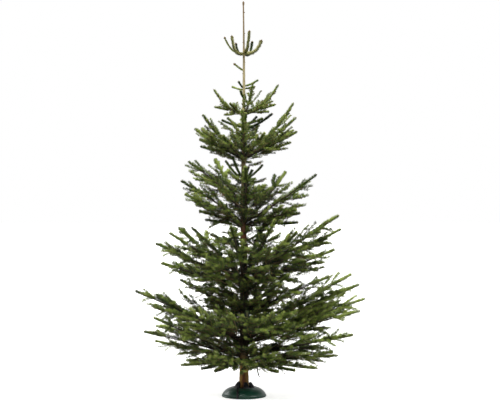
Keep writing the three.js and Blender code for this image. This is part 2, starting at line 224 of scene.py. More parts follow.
# Small shoots that the solids leave out: height, turn, reach, rise.
extraShoots = [
    (2168, 140, 66, 64), (1938, 150, 84, 22), (1950, 215, 40, 36), (1962, 14, 90, 38),
    (1945, 340, 72, 10), (1886, 250, 60, 40), (1702, 190, 138, 42), (1690, 344, 186, 92),
    (1700, 170, 104, 60), (1722, 8, 120, 34), (1706, 12, 84, 62), (1722, 280, 70, 60),
    (1716, 80, 80, 60), (1378, 160, 120, 110), (1384, 200, 74, 130), (1372, 8, 122, 90),
    (1366, 290, 90, 80), (1360, 60, 110, 70), (980, 30, 130, 60), (960, 200, 140, 50),
]
singleShoot = {"root": 2.2, "crownFrom": 2000, "crownBend": 4, "bend": 1.6, "dark": 2,
               "shortFrom": 1800, "short": 0.72, "long": 0.95}
# Limbs among the tiers' own: mass, years, height, turn, reach, rise, bend.
extraLimbs = [
    ("top", [(1, 2, 1802, 10, 185, 66, 1.2), (1, 2, 1794, 345, 205, 46, 1.3),
        (2, 2, 1790, 24, 172, 14, 1.1), (4, 2, 1798, 168, 188, 34, 1.3),
        (4, 2, 1788, 204, 132, -12, 1), (5, 2, 1782, 236, 150, 60, 1.5),
        (5, 2, 1778, 324, 150, 50, 1.5)]),
    ("high", [(3, 3, 1500, 178, 270, 80, 1.1), (3, 3, 1520, 170, 282, 104, 1.1),
        (4, 3, 1528, 186, 264, 150, 1.2), (1, 3, 1502, 8, 302, 105, 1.1),
        (6, 3, 1526, 352, 332, 232, 1.3), (1, 3, 1512, 0, 336, 160, 1.2),
        (5, 3, 1506, 240, 250, 130, 1.3), (5, 3, 1512, 300, 260, 140, 1.3)]),
    ("upper", [(7, 4, 1080, 340, 372, 78, 0.9), (7, 3, 1074, 334, 372, 26, 0.9),
        (5, 3, 1082, 200, 292, 90, 0.9), (5, 3, 1070, 190, 242, 46, 0.9)]),
    ("middle", [(5, 4, 684, 196, 480, 350, 0.8), (4, 4, 694, 165, 346, 370, 0.8),
        (8, 5, 664, 353, 612, 394, 0.8)]),
    ("lower", [(1, 5, 322, 346, 738, 232, 0.9), (1, 5, 348, 14, 764, 346, 0.85),
        (4, 5, 240, 196, 640, 186, 0.9)]),
    ("lowest", [(5, 3, 222, 200, 415, -8, 1.1), (5, 3, 218, 218, 330, -18, 1.1),
        (6, 3, 214, 234, 300, -24, 1.1), (8, 3, 224, 346, 600, 50, 1),
        (8, 3, 216, 332, 510, -8, 1.1), (7, 3, 212, 316, 430, -10, 1.1),
        (7, 3, 210, 303, 380, -14, 1.1)]),
    ("inner", [(3, 4, 500, 304, 480, 290, 0.9)]),
    ("middle", [(7, 3, 690, 300, 380, 430, 0.9)]),
]
extraHabit = {"share": 0.75, "root": 0.6}  # against its tier's own limbs

shoots = []  # one dictionary for each summer's growth of each twig
limbs = []  # the limbs that bark covers: points and radii
rng = np.random.default_rng(growth["seed"])


def turnBetween(one, two):
    return (one - two + 540) % 360 - 180


# A limb's sector runs half-way to its neighbours', and its box is the solid's.
def spaceOf(turn, turns, node):
    gaps = [(other - turn) % 360 for other in turns if other != turn]
    wide, narrow, over = growth["widest"], growth["narrowest"], growth["overlap"]
    ahead = max(narrow, min(gaps + [wide]) / 2 + over)
    behind = max(narrow, min([360 - gap for gap in gaps] + [wide]) / 2 + over)
    low, high = [np.array(corner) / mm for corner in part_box(node)]
    slack = np.array([1, 1, growth["slackUp"]]) * growth["slack"]

    def inside(tip):
        away = turnBetween(math.degrees(math.atan2(tip[1], tip[0])), turn)
        return -behind < away < ahead and (tip > low - slack).all() and (tip < high + slack).all()

    return inside


def limbRadius(root, share):
    return root * (1 - share) ** growth["limbTaper"] + growth["limbTip"]


# Even steps along a curve between two shares of it.
def evenly(curve, start, end, steps):
    shares = np.linspace(start, end, 6 * steps + 1)
    run = np.append(0, np.cumsum(np.linalg.norm(np.diff(curve(shares), axis=0), axis=1)))
    return curve(np.interp(np.linspace(0, run[-1], steps + 1), run, shares))


# root is how thick a limb leaves the trunk; tips rounds the last summer's growth.
def addShoots(curve, length, years, order, mass, style, size, shade, root=None, tips=False):
    roll = rng.uniform(-growth["roll"], growth["roll"])
    for year in range(years):
        steps = max(growth["fewest"], int(length / years / growth["step"]))
        if style == "round" or tips:
            steps += growth["more"]
        core = (growth["limbTip"], growth["limbTip"])
        if root is not None:
            core = tuple(limbRadius(root, np.array([year, year + 1]) / years))
        shoots.append({
            "points": evenly(curve, year / years, (year + 1) / years, steps),
            "age": years - 1 - year, "order": order, "mass": mass, "roll": roll,
            "style": "round" if tips and year == years - 1 else style,
            "size": size * rng.uniform(*growth["size"]), "open": rng.uniform(*growth["open"]),
            "shade": shade, "core": core,
        })


def branchOut(curve, length, years, order, mass, inside, habit):
    addShoots(curve, length, years, order, mass, "flat", habit["needle"], None,
              None if order else habit["root"], order == 0)
    if order >= growth["orders"]:
        return
    for year in range(1, years):
        sides = [(-1, 0), (1, 0)]
        if order == 0:
            sides += [(1 if rng.random() < 0.5 else -1, tilt) for tilt in (1, -1)]
        if rng.random() < growth["between"] or years < growth["young"]:
            sides += [(side, share) for share in growth["betweenAt"] for side in (-1, 1)]
        # tilt is 0 for level, 1 above, -1 below, or a share of the way to the next joint.
        for side, tilt in sides:
            for attempt in range(growth["throws"]):
                t = year / years + rng.uniform(-growth["jitter"], growth["jitter"])
                if 0 < tilt < 1:
                    t += tilt / years
                grown = (growth["full"] - t) * length * habit["share"] * rng.uniform(*growth["vary"])
                angle = growth["angle"] + growth["spread"] * rng.uniform(-1, 1)
                slope = growth["slope"] * rng.uniform(-1, 1)
                left = years - year
                if 0 < tilt < 1:
                    grown *= growth["betweenLength"]
                    left = 1
                elif tilt:
                    grown *= growth["tiltedLength"]
                    angle *= growth["tiltedAngle"]
                    slope = tilt * rng.uniform(*growth["tilt"])
                    left = max(1, left - 1)
                if grown < growth["shortest"] * left:
                    left = max(1, int(grown / growth["shortest"]))
                lift = habit["lift"] * rng.uniform(*growth["lift"])
                waver = rng.uniform(-growth["waver"], growth["waver"])
                twig = sideCurve(curve, t, side, grown, angle, slope, lift, waver)
                if inside(twig(1.0)):
                    branchOut(twig, grown, left, order + 1, mass, inside, habit)
                    break


def addLimb(curve, root, start, steps):
    share = np.linspace(start, 1, steps)
    limbs.append((curve(share), limbRadius(root, share)))


for level, tier in enumerate(tiers):
    turns = [turn for turn, *rest in tier["limbs"]]
    for i, (turn, reach, rise, step, bend) in enumerate(tier["limbs"]):
        throw = firstThrow(growth["swaySeed"] + level * growth["seedStep"] + i)
        sway = 2 * growth["sway"] * throw - growth["sway"]
        curve, length = limbCurve(tier["height"] + step, turn, reach, rise, bend, sway)
        node = f"{tier['name']}_foliage_{i + 1}"
        branchOut(curve, length, tier["years"], 0, node, spaceOf(turn, turns, node), tier)
        addLimb(curve, tier["root"], 0.01, 26)

for name, rows in extraLimbs:
    tier = [tier for tier in tiers if tier["name"] == name][0]
    habit = {**tier, **{key: tier[key] * part for key, part in extraHabit.items()}}
    for number, years, height, turn, reach, rise, bend in rows:
        mass = f"{name}_foliage_{number}"
        curve, length = limbCurve(height, turn, reach, rise, bend)
        branchOut(curve, length, years, 0, mass, spaceOf(turn, [], mass), habit)
        addLimb(curve, habit["root"], 0.02, 20)

# One dead twig hangs from the lowest tier.
hanging = [(80, -176, 262), (83, -186, 222), (83, -190, 190), (89, -191, 164), (98, -190, 145)]
limbs.append((np.array(hanging, float), [3, 3.4, 4.2, 4.6, 2.4]))

# Short twigs on the trunk between whorls: from, to, count, reach, years, whose first mass they join.
trunkTwigs = [
    (236, 320, 12, 330, 3, "lowest"), (340, 500, 20, 340, 3, "lower"),
    (500, 660, 20, 310, 3, "inner"), (660, 780, 14, 280, 3, "middle"),
    (780, 1000, 22, 230, 2, "middle"), (1000, 1100, 12, 200, 2, "upper"),
    (1100, 1340, 28, 190, 2, "upper"), (1440, 1500, 6, 120, 2, "high"),
    (1500, 1660, 14, 140, 2, "high"), (1796, 1830, 4, 80, 1, "top"),
]
trunkTwig = {"spiral": 137.5, "scatter": 20, "length": (0.6, 1.15), "rise": (0, 0.6), "bend": 1.2,
             "lift": 0.15, "needle": 0.9, "share": 0.6}
for low, high, count, reach, years, tier in trunkTwigs:
    for k in range(count):
        turn = trunkTwig["spiral"] * k + rng.uniform(-trunkTwig["scatter"], trunkTwig["scatter"])
        height = low + (high - low) * (k + 0.5) / count
        length = reach * rng.uniform(*trunkTwig["length"])
        rise = length * rng.uniform(*trunkTwig["rise"])
        curve, length = limbCurve(height, turn, length, rise, trunkTwig["bend"])
        branchOut(curve, length, years, 1, f"{tier}_foliage_1", lambda tip: True, trunkTwig)

for row in crownShoots:
    for i, (turn, reach, rise, step, bend, size, shade) in enumerate(row["limbs"]):
        curve, length = limbCurve(row["height"] + step, turn, reach, rise, bend)
        name = f"{row['name']}_{i + 1}"
        addShoots(curve, length, 1, 1, name, "round", size, shade, singleShoot["root"])
for height, turn, reach, rise in extraShoots:
    atCrown = height > singleShoot["crownFrom"]
    bend = singleShoot["crownBend" if atCrown else "bend"]
    curve, length = limbCurve(height, turn, reach, rise, bend)
    addShoots(curve, length, 1, 1, "leader_shoot_1", "round",
              singleShoot["short" if height > singleShoot["shortFrom"] else "long"],
              singleShoot["dark"] if atCrown else None)
metres = sum(np.linalg.norm(np.diff(each["points"], axis=0), axis=1).sum() for each in shoots) * mm
print("shoots", len(shoots), "metres", round(metres, 1))


# A flat spray parts its needles to both sides and lays some forward on top; a round one presses them
# forward all round. byAge and deep say how full a twig is by its age and its depth in the crown.
needle = {
    "length": 20.5, "width": 3.7, "fold": 0.05, "widest": 0.52, "vary": (0.85, 1.12), "above": 0.08,
    "each": 1.03, "fewest": 4, "byAge": [1, 0.9, 0.7, 0.55, 0.4], "onLimb": (1.2, 0.5), "limbYears": 4,
    "round": 4, "tips": 2.6, "depth": [0.35, 0.6, 0.85], "deep": [0.7, 0.95, 1.4],
    "side": 62, "top": 54, "sideShare": 0.5, "parting": 55, "lowest": 108, "scatter": 8, "close": 0.15,
    "pressed": 32, "looser": 7, "flare": 30, "late": 9, "roundScatter": 6, "tipShorter": 0.3,
    "lift": 0.06, "footLength": 0.74, "grows": 1.6, "end": 0.94, "endLength": 0.85,
    # rows and underShadeScatter: how far down a needle faces before it is dealt a darker colour,
    # painted shade under the shoot.
    "faceOut": 0.5, "faceScatter": 0.4, "inBark": 0.9, "rows": [-0.55, 0.05], "underShadeScatter": 0.2,
}
crown = {"top": 40, "slope": 0.3}  # its radius at the top, and what each millimetre down adds


def directionsAlong(points):
    ahead = np.gradient(points, axis=0)
    ahead /= np.linalg.norm(ahead, axis=1, keepdims=True)
    left = np.cross([0, 0, 1], ahead)
    left /= np.maximum(np.linalg.norm(left, axis=1, keepdims=True), 1e-6)
    return ahead, left, np.cross(ahead, left)


def between(points, share):
    place = share * (len(points) - 1)
    low = np.minimum(place.astype(int), len(points) - 2)
    part = (place - low)[:, None]
    return points[low] * (1 - part) + points[low + 1] * part


def unit(vectors):
    return vectors / np.maximum(np.linalg.norm(vectors, axis=1, keepdims=True), 1e-9)


# How far out a shoot ends: 0 at the trunk, about 1 at the crown's edge.
def outwards(shoot):
    tip = shoot["points"][-1]
    return np.linalg.norm(tip[:2]) / (crown["top"] + crown["slope"] * (stem["height"] - tip[2]))


def needlesOn(shoot):
    points = shoot["points"]
    length = np.linalg.norm(np.diff(points, axis=0), axis=1).sum()
    isRound, onLimb = shoot["style"] == "round", shoot["order"] == 0
    fullness = needle["byAge"][min(shoot["age"], len(needle["byAge"]) - 1)]
    if onLimb:
        fullness = needle["onLimb"][0 if shoot["age"] < needle["limbYears"] else 1]
    if isRound:
        fullness *= needle["tips"] if onLimb else needle["round"]
    else:
        fullness *= np.interp(outwards(shoot), needle["depth"], needle["deep"])
    count = max(needle["fewest"], int(length * needle["each"] * fullness))
    share = (np.arange(count) + rng.random(count)) / count
    ahead, left, above = [between(each, share) for each in directionsAlong(points)]
    if isRound:
        around = rng.uniform(-math.pi, math.pi, count)
        pressed = needle["pressed"] + (needle["looser"] if onLimb else 0)
        flare = needle["flare"] * share ** needle["late"]
        forward = np.radians(pressed + flare + rng.normal(0, needle["roundScatter"], count))
    else:
        atSide = rng.random(count) < needle["sideShare"]
        around = np.where(atSide, rng.uniform(needle["parting"], needle["lowest"], count),
                          rng.uniform(0, needle["parting"], count))
        around = np.radians(around * rng.choice([-1, 1], count) + shoot["roll"])
        lean = needle["top"] + (needle["side"] - needle["top"]) * np.abs(np.sin(around))
        forward = np.radians(lean * shoot["open"] + rng.normal(0, needle["scatter"], count))
    if shoot["age"] == 0 and not isRound:
        forward *= 1 - needle["close"] * share ** 4
    across = above * np.cos(around)[:, None] + left * np.sin(around)[:, None]
    reach = ahead * np.cos(forward)[:, None] + across * np.sin(forward)[:, None]
    reach = unit(reach + needle["lift"] * above)
    size = needle["length"] * shoot["size"] * rng.uniform(*needle["vary"], count)
    size *= (1 - needle["above"]) + needle["above"] * np.cos(around)
    shorter = np.clip(needle["footLength"] + needle["grows"] * share, needle["footLength"], 1)
    size *= shorter * np.where(share > needle["end"], needle["endLength"], 1)
    if isRound:
        size *= 1 - needle["tipShorter"] * share ** needle["late"]
        facing = across * np.cos(forward)[:, None] - ahead * np.sin(forward)[:, None]
    else:
        facing = above + needle["faceOut"] * across
        facing = facing + needle["faceScatter"] * rng.normal(0, 1, (count, 3))
    facing = unit(facing - reach * (facing * reach).sum(1)[:, None])
    wide = np.cross(facing, reach) * needle["width"] / 2
    core = shoot["core"][0] + (shoot["core"][1] - shoot["core"][0]) * share
    foot = between(points, share) + across * core[:, None] * needle["inBark"]
    size = size[:, None]
    tip = foot + reach * size
    middle = foot + reach * (needle["widest"] * size) - facing * (needle["fold"] * size)
    # Needles that face down take darker colour classes as painted shade on the shoot's underside; a
    # round shoot's underside is one class darker.
    paintedShadeUnder = np.digitize(-across[:, 2] - needle["underShadeScatter"] * rng.random(count), needle["rows"])
    if isRound:
        paintedShadeUnder = (paintedShadeUnder > 1) * 1
    return np.stack([foot, middle - wide, tip, middle + wide], 1), paintedShadeUnder


# A shoot's colour is lighter when it is young; being lighter far out and high up and darker near the
# trunk is painted light and shade.
deal = {
    "byAge": [1.0, 0.25, -0.4, -0.9], "age": 0.8, "outer": 0.9, "middle": 0.5, "edge": 1.1,
    "chance": 0.5, "heights": [300, 800, 1400, 1600, 1850], "light": [0.17, -0.08, -0.12, 0.18, 0.45],
    "limits": [-1.0, -0.45, 0.1, 0.65, 1.15],
}


def dealColour(shoot):
    if shoot["shade"] is not None:
        return shoot["shade"]
    outer = min(deal["edge"], outwards(shoot)) - deal["middle"]
    young = deal["byAge"][min(shoot["age"], len(deal["byAge"]) - 1)]
    # light: painted light by the height of the shoot's tip, lightest high in the crown.
    light = np.interp(shoot["points"][-1][2], deal["heights"], deal["light"])
    score = deal["age"] * young + deal["outer"] * outer + light + rng.normal(0, deal["chance"])
    return int(np.digitize(score, deal["limits"]))


# Fir needles: a waxy cuticle gives them a soft gloss. Plain colours, from old growth to new; the darker
# ones also serve as painted shade under shoots and deep in the crown. The last two are the crown's
# olive, made paler as painted light; the darker of them is also the painted-shade underside of the
# palest.
needleColours = [
    "#1b211b", "#2c3726", "#43532f", "#5e7135", "#82964a", "#abbb62", "#959861", "#c9c78e"]
waxes = []
for number, code in enumerate(needleColours):
    material, tree, place = newMaterial(f"waxyNeedle{number}")
    shader = addNode(tree, "BsdfPrincipled", {
        "Base Color": linear(code), "Roughness": 0.48, "IOR": 1.45, "Specular IOR Level": 0.34})
    addNode(tree, "OutputMaterial", links={"Surface": shader.outputs[0]})
    waxes.append(material)


# Twigs' skin: young fir bark is matt tan to grey-brown, and buds are brown scales glazed with resin.
def mottled(name, scale, detail, stops, gloss):
    material, tree, place = newMaterial(name)
    grain = addNode(tree, "TexNoise", {"Scale": scale, "Detail": detail}, {"Vector": place})
    tone = addNode(tree, "ValToRGB", {"stops": stops}, {"Fac": grain.outputs["Fac"]})
    shader = addNode(tree, "BsdfPrincipled", gloss, {"Base Color": tone.outputs["Color"]})
    addNode(tree, "OutputMaterial", links={"Surface": shader.outputs[0]})
    return material


twigBark = mottled("youngTwigBark", 60, 3, [(0.3, "#5f4a34"), (0.6, "#94764f")], {"Roughness": 0.8})
budScale = mottled("resinBud", 90, 2, [(0.35, "#5d4326"), (0.65, "#8f7444")],
                   {"Roughness": 0.4, "IOR": 1.5})
twig = {"tip": 0.9, "eachYear": 0.55, "sides": 3}


def tubeOn(points, thick, thin, sides):
    ahead, left, above = directionsAlong(points)
    turn = np.arange(sides) * 2 * math.pi / sides + math.pi / sides
    radius = np.linspace(thick, thin, len(points))[:, None, None]
    ring = left[:, None] * np.cos(turn)[None, :, None] + above[:, None] * np.sin(turn)[None, :, None]
    corners = (points[:, None] + ring * radius).reshape(-1, 3)
    faces = []
    for j in range(len(points) - 1):
        for i in range(sides):
            a, b = j * sides + i, j * sides + (i + 1) % sides
            faces += [(a, b, b + sides), (a, b + sides, a + sides)]
    last = (len(points) - 1) * sides
    for i in range(1, sides - 1):
        faces += [(0, i + 1, i), (last, last + i, last + i + 1)]
    return corners, np.array(faces)


# A bud is a pointed oval of eight faces; a stout shoot ends in many, a plain one in few.
bud = {
    "length": 6.5, "width": 2.4, "widest": 0.4, "plain": 0.9, "upper": 1.3, "crown": 2.1, "splay": 0.75,
    "smaller": 0.8, "many": 5, "few": 2, "longNeedles": 0.9, "leader": 1.9, "leaderDrop": 14,
    "aside": 0.75, "up": 0.66,
}
# Single buds on the bare stem: height, turn, size.
stemBuds = [
    (2425, 0, 1.3), (2293, 15, 1.3), (2236, 190, 1), (2110, 20, 1), (2040, 160, 1), (1990, 300, 1)]


def budAt(place, ahead, left, above, size):
    tall, wide = bud["length"] * size, bud["width"] * size
    middle = place + ahead * tall * bud["widest"]
    points = [place - ahead * 0.5, middle + left * wide, middle + above * wide, middle - left * wide,
              middle - above * wide, place + ahead * tall]
    faces = [(0, 2, 1), (0, 3, 2), (0, 4, 3), (0, 1, 4), (5, 1, 2), (5, 2, 3), (5, 3, 4), (5, 4, 1)]
    return np.array(points), np.array(faces)


def budCluster(place, ahead, left, above, size, count):
    yield budAt(place, ahead, left, above, size)
    for k in range(count):
        turn = math.pi * 2 * k / count
        aside = left * math.cos(turn) + above * math.sin(turn)
        heading = ahead + aside * bud["splay"]
        heading /= np.linalg.norm(heading)
        across = np.cross(aside, ahead)
        yield budAt(place + aside * size - ahead * size, heading, across, np.cross(heading, across),
                    size * bud["smaller"])


def budsOn(shoot):
    ahead, left, above = [each[-1] for each in directionsAlong(shoot["points"])]
    size = bud["plain"] if shoot["size"] > bud["longNeedles"] else bud["upper"]
    if shoot["style"] == "round":
        size = bud["crown"] if shoot["shade"] else bud["upper"]
    count = bud["many"] if size > bud["upper"] else bud["few"] if shoot["order"] < 2 else 0
    yield from budCluster(shoot["points"][-1], ahead, left, above, size, count)


class Heap:
    def __init__(self):
        self.points, self.faces, self.slots, self.count = [], [], [], 0

    def add(self, points, faces, slot=0):
        self.points.append(points)
        self.faces.append(faces + self.count)
        self.slots.append(np.zeros(len(faces)) + slot)
        self.count += len(points)

    def piece(self, name, materials):
        return fromArrays(name, np.concatenate(self.points), np.concatenate(self.faces), materials,
                          np.concatenate(self.slots))


def growPieces(label, masses):
    own = [each for each in shoots if each["mass"] in masses]
    needles, twigs, buds = Heap(), Heap(), Heap()
    kite = np.array([(0, 1, 2), (0, 2, 3)])
    for shoot in own:
        quads, paintedShadeUnder = needlesOn(shoot)
        faces = (np.arange(len(quads)) * 4)[:, None, None] + kite
        # Each needle gets its shoot's dealt colour, made darker under the shoot as painted shade.
        shade = np.repeat(np.maximum(dealColour(shoot) - paintedShadeUnder, 0), 2)
        needles.add(quads.reshape(-1, 3), faces.reshape(-1, 3), shade)
        if shoot["order"] > 0:
            thin = twig["tip"] + twig["eachYear"] * shoot["age"]
            last = len(shoot["points"]) - 1
            kept = [0, last] if shoot["order"] > 1 else [0, last // 2, last]
            if shoot["style"] == "round":
                kept = list(range(last + 1))
            twigs.add(*tubeOn(shoot["points"][kept], thin + twig["eachYear"], thin, twig["sides"]))
        if shoot["age"] == 0:
            for each in budsOn(shoot):
                buds.add(*each)
    if label == "crown":
        axes = np.eye(3)
        top = trunkAxis(stem["height"] - bud["leaderDrop"])
        for each in budCluster(top, axes[2], axes[0], axes[1], bud["leader"], bud["many"]):
            buds.add(*each)
        for height, turn, size in stemBuds:
            aside = np.array([math.cos(math.radians(turn)), math.sin(math.radians(turn)), 0])
            heading = aside * bud["aside"] + axes[2] * bud["up"]
            across = np.cross(axes[2], aside)
            place = trunkAxis(height) + aside * (trunkRadius(height) - 1)
            buds.add(*budAt(place, heading, across, np.cross(heading, across), size))
    for kind, heap, materials, slot in [("needles", needles, waxes, "needles"),
                                        ("twigs", twigs, [twigBark], "bark"),
                                        ("buds", buds, [budScale], "bark")]:
        piece = heap.piece(f"{kind}_{label}", materials)
        isPart(piece, slot, *masses)
        print(piece.name, len(piece.data.polygons))


for tier in tiers:
    names = [f"{tier['name']}_foliage_{i + 1}" for i in range(len(tier["limbs"]))]
    count = tier.get("pieces", 1)
    for part in range(count):
        masses = names[part * len(names) // count:(part + 1) * len(names) // count]
        growPieces(tier["name"] + ("" if count == 1 else f"_{part + 1}"), masses)
growPieces("crown", [f"crown_shoot_{i}" for i in range(1, 6)] + ["leader_shoot_1"])

# Young fir bark: smooth, with fine upright cracks and resin blisters; tan below, red-brown where it is
# bare and grey-tan up the stem, with painted light and shade at the foot. Sizes are in metres, patches
# to a metre.
barkFinish = {
    "crack": 0.004, "blister": 0.009, "patches": 14, "upright": 0.16, "crackShade": 0.6,
    "depth": 0.0016, "bump": 0.6, "russet": 0.75, "smooth": 50,
    "wave": 0.016, "sideLightSpan": (-0.028, 0.044), "sideLightFrom": 0.26, "sideLightFull": 0.16,
}
# Painted light and shade across the foot, from -X to +X: near-white leaves the colour lit, red-brown
# darkens the middle.
sideLightStops = [
    (0.06, "#fff6df"), (0.26, "#d9c59c"), (0.4, "#8f6656"), (0.56, "#86604e"), (0.7, "#b4a47c"),
    (0.9, "#c8bc96")]
# By share of the tree's height; the light tan at the foot is partly painted light, against the lowest
# tier's shadow.
stemStops = [
    (0.0, "#e8c98a"), (0.075, "#dcb878"), (0.12, "#3a2c1f"), (0.34, "#3a3025"), (0.4, "#7a4a30"),
    (0.44, "#5c4b34"), (0.64, "#8f8259"), (0.72, "#bdb083"), (0.82, "#b5a880"), (0.9, "#8f7f5f"),
    (1.0, "#8a7350")]
crackStops = [(0.34, "#5b3a22"), (0.52, "#ffffff")]
boughStops = [(0.0, "#3d3022"), (0.4, "#43372a"), (0.7, "#5a4c34")]


def barkMaterial(name, steps, russetCode):
    material, tree, place = newMaterial(name)
    axes = addNode(tree, "SeparateXYZ", links={"Vector": place}).outputs
    upright = addNode(tree, "Mapping", {"Scale": (1, 1, barkFinish["upright"])},
                      {"Vector": place}).outputs[0]
    cracks = addNode(tree, "TexNoise", {
        "Scale": 1 / barkFinish["crack"], "Detail": 5, "Roughness": 0.62},
        {"Vector": upright}).outputs["Fac"]
    blisters = addNode(tree, "TexNoise", {"Scale": 1 / barkFinish["blister"], "Detail": 2},
                       {"Vector": place}).outputs["Fac"]
    patches = addNode(tree, "TexNoise", {"Scale": barkFinish["patches"], "Detail": 3, "Roughness": 0.6},
                      {"Vector": upright}).outputs["Fac"]
    share = addNode(tree, "MapRange", {"From Max": stem["height"] * mm}, {"Value": axes["Z"]})
    base = addNode(tree, "ValToRGB", {"stops": steps}, {"Fac": share.outputs[0]})
    dark = addNode(tree, "ValToRGB", {"stops": crackStops}, {"Fac": cracks})
    cracked = addNode(tree, "Mix", {
        "data_type": "RGBA", "blend_type": "MULTIPLY", 0: barkFinish["crackShade"]},
        {6: base.outputs["Color"], 7: dark.outputs["Color"]})
    mask = addNode(tree, "MapRange", {
        "From Min": 0.56, "From Max": 0.68, "To Max": barkFinish["russet"]}, {"Value": patches})
    russet = addNode(tree, "Mix", {"data_type": "RGBA", 7: linear(russetCode)},
                     {0: mask.outputs[0], 6: cracked.outputs[2]})
    # Painted light and shade across the foot, by X with wavy edges: the -X side keeps its light colour,
    # the middle is multiplied down to red-brown as painted shade, +X to tan.
    wavy = addNode(tree, "Math", {"operation": "MULTIPLY_ADD", 1: barkFinish["wave"]},
                   {0: patches, 2: axes["X"]})
    left, right = barkFinish["sideLightSpan"]
    sideLight = addNode(tree, "MapRange", {"From Min": left, "From Max": right}, {"Value": wavy.outputs[0]})
    sides = addNode(tree, "ValToRGB", {"stops": sideLightStops}, {"Fac": sideLight.outputs[0]})
    low = addNode(tree, "MapRange", {
        "From Min": barkFinish["sideLightFrom"], "From Max": barkFinish["sideLightFull"]},
        {"Value": axes["Z"]})
    foot = addNode(tree, "Mix", {"data_type": "RGBA", "blend_type": "MULTIPLY"},
                   {0: low.outputs[0], 6: russet.outputs[2], 7: sides.outputs["Color"]})
    relief = addNode(tree, "Math", {"operation": "ADD"}, {0: cracks, 1: blisters})
    bump = addNode(tree, "Bump", {"Strength": barkFinish["bump"], "Distance": barkFinish["depth"]},
                   {"Height": relief.outputs[0]})
    shader = addNode(tree, "BsdfPrincipled", {"Roughness": 0.82},
                     {"Base Color": foot.outputs[2], "Normal": bump.outputs[0]})
    addNode(tree, "OutputMaterial", links={"Surface": shader.outputs[0]})
    return material


bark = barkMaterial("youngFirBark", stemStops, "#7a4426")
boughBark = barkMaterial("shadedBoughBark", boughStops, "#4a3322")


# Merges near points and turns faces outwards.
def closeUp(near=0):
    bpy.ops.mesh.select_all(action="SELECT")
    if near:
        bpy.ops.mesh.remove_doubles(threshold=near)
    bpy.ops.mesh.normals_make_consistent(inside=False)


# Tapering runs of bark as one mesh, with real relief.
def barkPiece(name, runs, sides, relief, grain, finish):
    line = bpy.data.curves.new(name, "CURVE")
    line.dimensions = "3D"
    line.bevel_depth = mm
    line.bevel_resolution = sides // 2 - 2
    line.use_fill_caps = True
    for points, radii in runs:
        spline = line.splines.new("POLY")
        spline.points.add(len(points) - 1)
        rows = np.concatenate([points * mm, np.ones((len(points), 1))], 1)
        spline.points.foreach_set("co", rows.astype(np.float32).ravel())
        spline.points.foreach_set("radius", np.array(radii, np.float32))
    piece = bpy.data.objects.new(name, line)
    bpy.context.scene.collection.objects.link(piece)
    bpy.ops.object.select_all(action="DESELECT")
    bpy.context.view_layer.objects.active = piece
    piece.select_set(True)
    bpy.ops.object.convert(target="MESH")
    bpy.ops.object.mode_set(mode="EDIT")
    closeUp(0.00001)
    bpy.ops.object.mode_set(mode="OBJECT")
    texture = bpy.data.textures.new(name + "Relief", "CLOUDS")
    texture.noise_scale = grain
    texture.noise_depth = 3
    displace = piece.modifiers.new("relief", "DISPLACE")
    displace.texture = texture
    displace.strength = relief
    bpy.ops.object.modifier_apply(modifier="relief")
    bpy.ops.object.shade_smooth_by_angle(angle=math.radians(barkFinish["smooth"]))
    piece.data.materials.clear()
    piece.data.materials.append(finish)
    return piece


heights = list(np.arange(stem["cut"], stem["height"] - stem["budFrom"], stem["step"]))
radii = [trunkRadius(z) for z in heights]
for drop, radius in stem["bud"]:
    heights.append(stem["height"] + drop)
    radii.append(radius)
trunkPiece = barkPiece("trunk_bark", [(trunkAxis(np.array(heights)), radii)], 24, 0.0022, 0.011, bark)
isPart(trunkPiece, "bark", "trunk")
boughPiece = barkPiece("bough_bark", limbs, 10, 0.0008, 0.008, boughBark)
isPart(boughPiece, "bark", *[f"lower_bough_{i}" for i in range(1, 7)])
print("bark", len(trunkPiece.data.polygons), len(boughPiece.data.polygons))

# Injection-moulded plastics: a glossy dish, satin claws and lever. cloud scuffs the gloss and skin
# roughens it, in spots to a metre.
moulded = {"cloud": 35, "skin": 900, "depth": 0.0003, "bump": 0.12, "polish": 0.05, "scuff": 0.07}


def plastic(name, codes, roughness, coat):
    material, tree, place = newMaterial(name)
    cloud = addNode(tree, "TexNoise", {"Scale": moulded["cloud"], "Detail": 3},
                    {"Vector": place}).outputs["Fac"]
    tone = addNode(tree, "ValToRGB", {"stops": [(0.35, codes[0]), (0.65, codes[1])]}, {"Fac": cloud})
    scuff = addNode(tree, "MapRange", {
        "To Min": roughness - moulded["polish"], "To Max": roughness + moulded["scuff"]},
        {"Value": cloud})
    skin = addNode(tree, "TexNoise", {"Scale": moulded["skin"], "Detail": 2}, {"Vector": place})
    bump = addNode(tree, "Bump", {"Strength": moulded["bump"], "Distance": moulded["depth"]},
                   {"Height": skin.outputs["Fac"]})
    shader = addNode(
        tree, "BsdfPrincipled", {"IOR": 1.5, "Coat Weight": coat, "Coat Roughness": 0.25},
        {"Base Color": tone.outputs["Color"], "Roughness": scuff.outputs[0], "Normal": bump.outputs[0]})
    addNode(tree, "OutputMaterial", links={"Surface": shader.outputs[0]})
    return material


greenPlastic = plastic("glossyGreenAbs", ("#1b4535", "#22503f"), 0.34, 0.25)
blackPlastic = plastic("satinBlackNylon", ("#121216", "#1a1a1f"), 0.42, 0.0)
cornerAngle = 32  # edges sharper than this are bevelled


def finished(name, material, bevel, segments, smooth):
    bpy.ops.object.mode_set(mode="OBJECT")
    piece = bpy.context.object
    piece.name = piece.data.name = name
    bpy.ops.object.transform_apply(location=True, rotation=True, scale=True)
    if bevel:
        edge = piece.modifiers.new("edges", "BEVEL")
        edge.width = bevel * mm
        edge.segments = segments
        edge.limit_method = "ANGLE"
        edge.angle_limit = math.radians(cornerAngle)
        bpy.ops.object.modifier_apply(modifier="edges")
    bpy.ops.object.shade_smooth_by_angle(angle=math.radians(smooth))
    piece.data.materials.clear()
    piece.data.materials.append(material)
    return piece


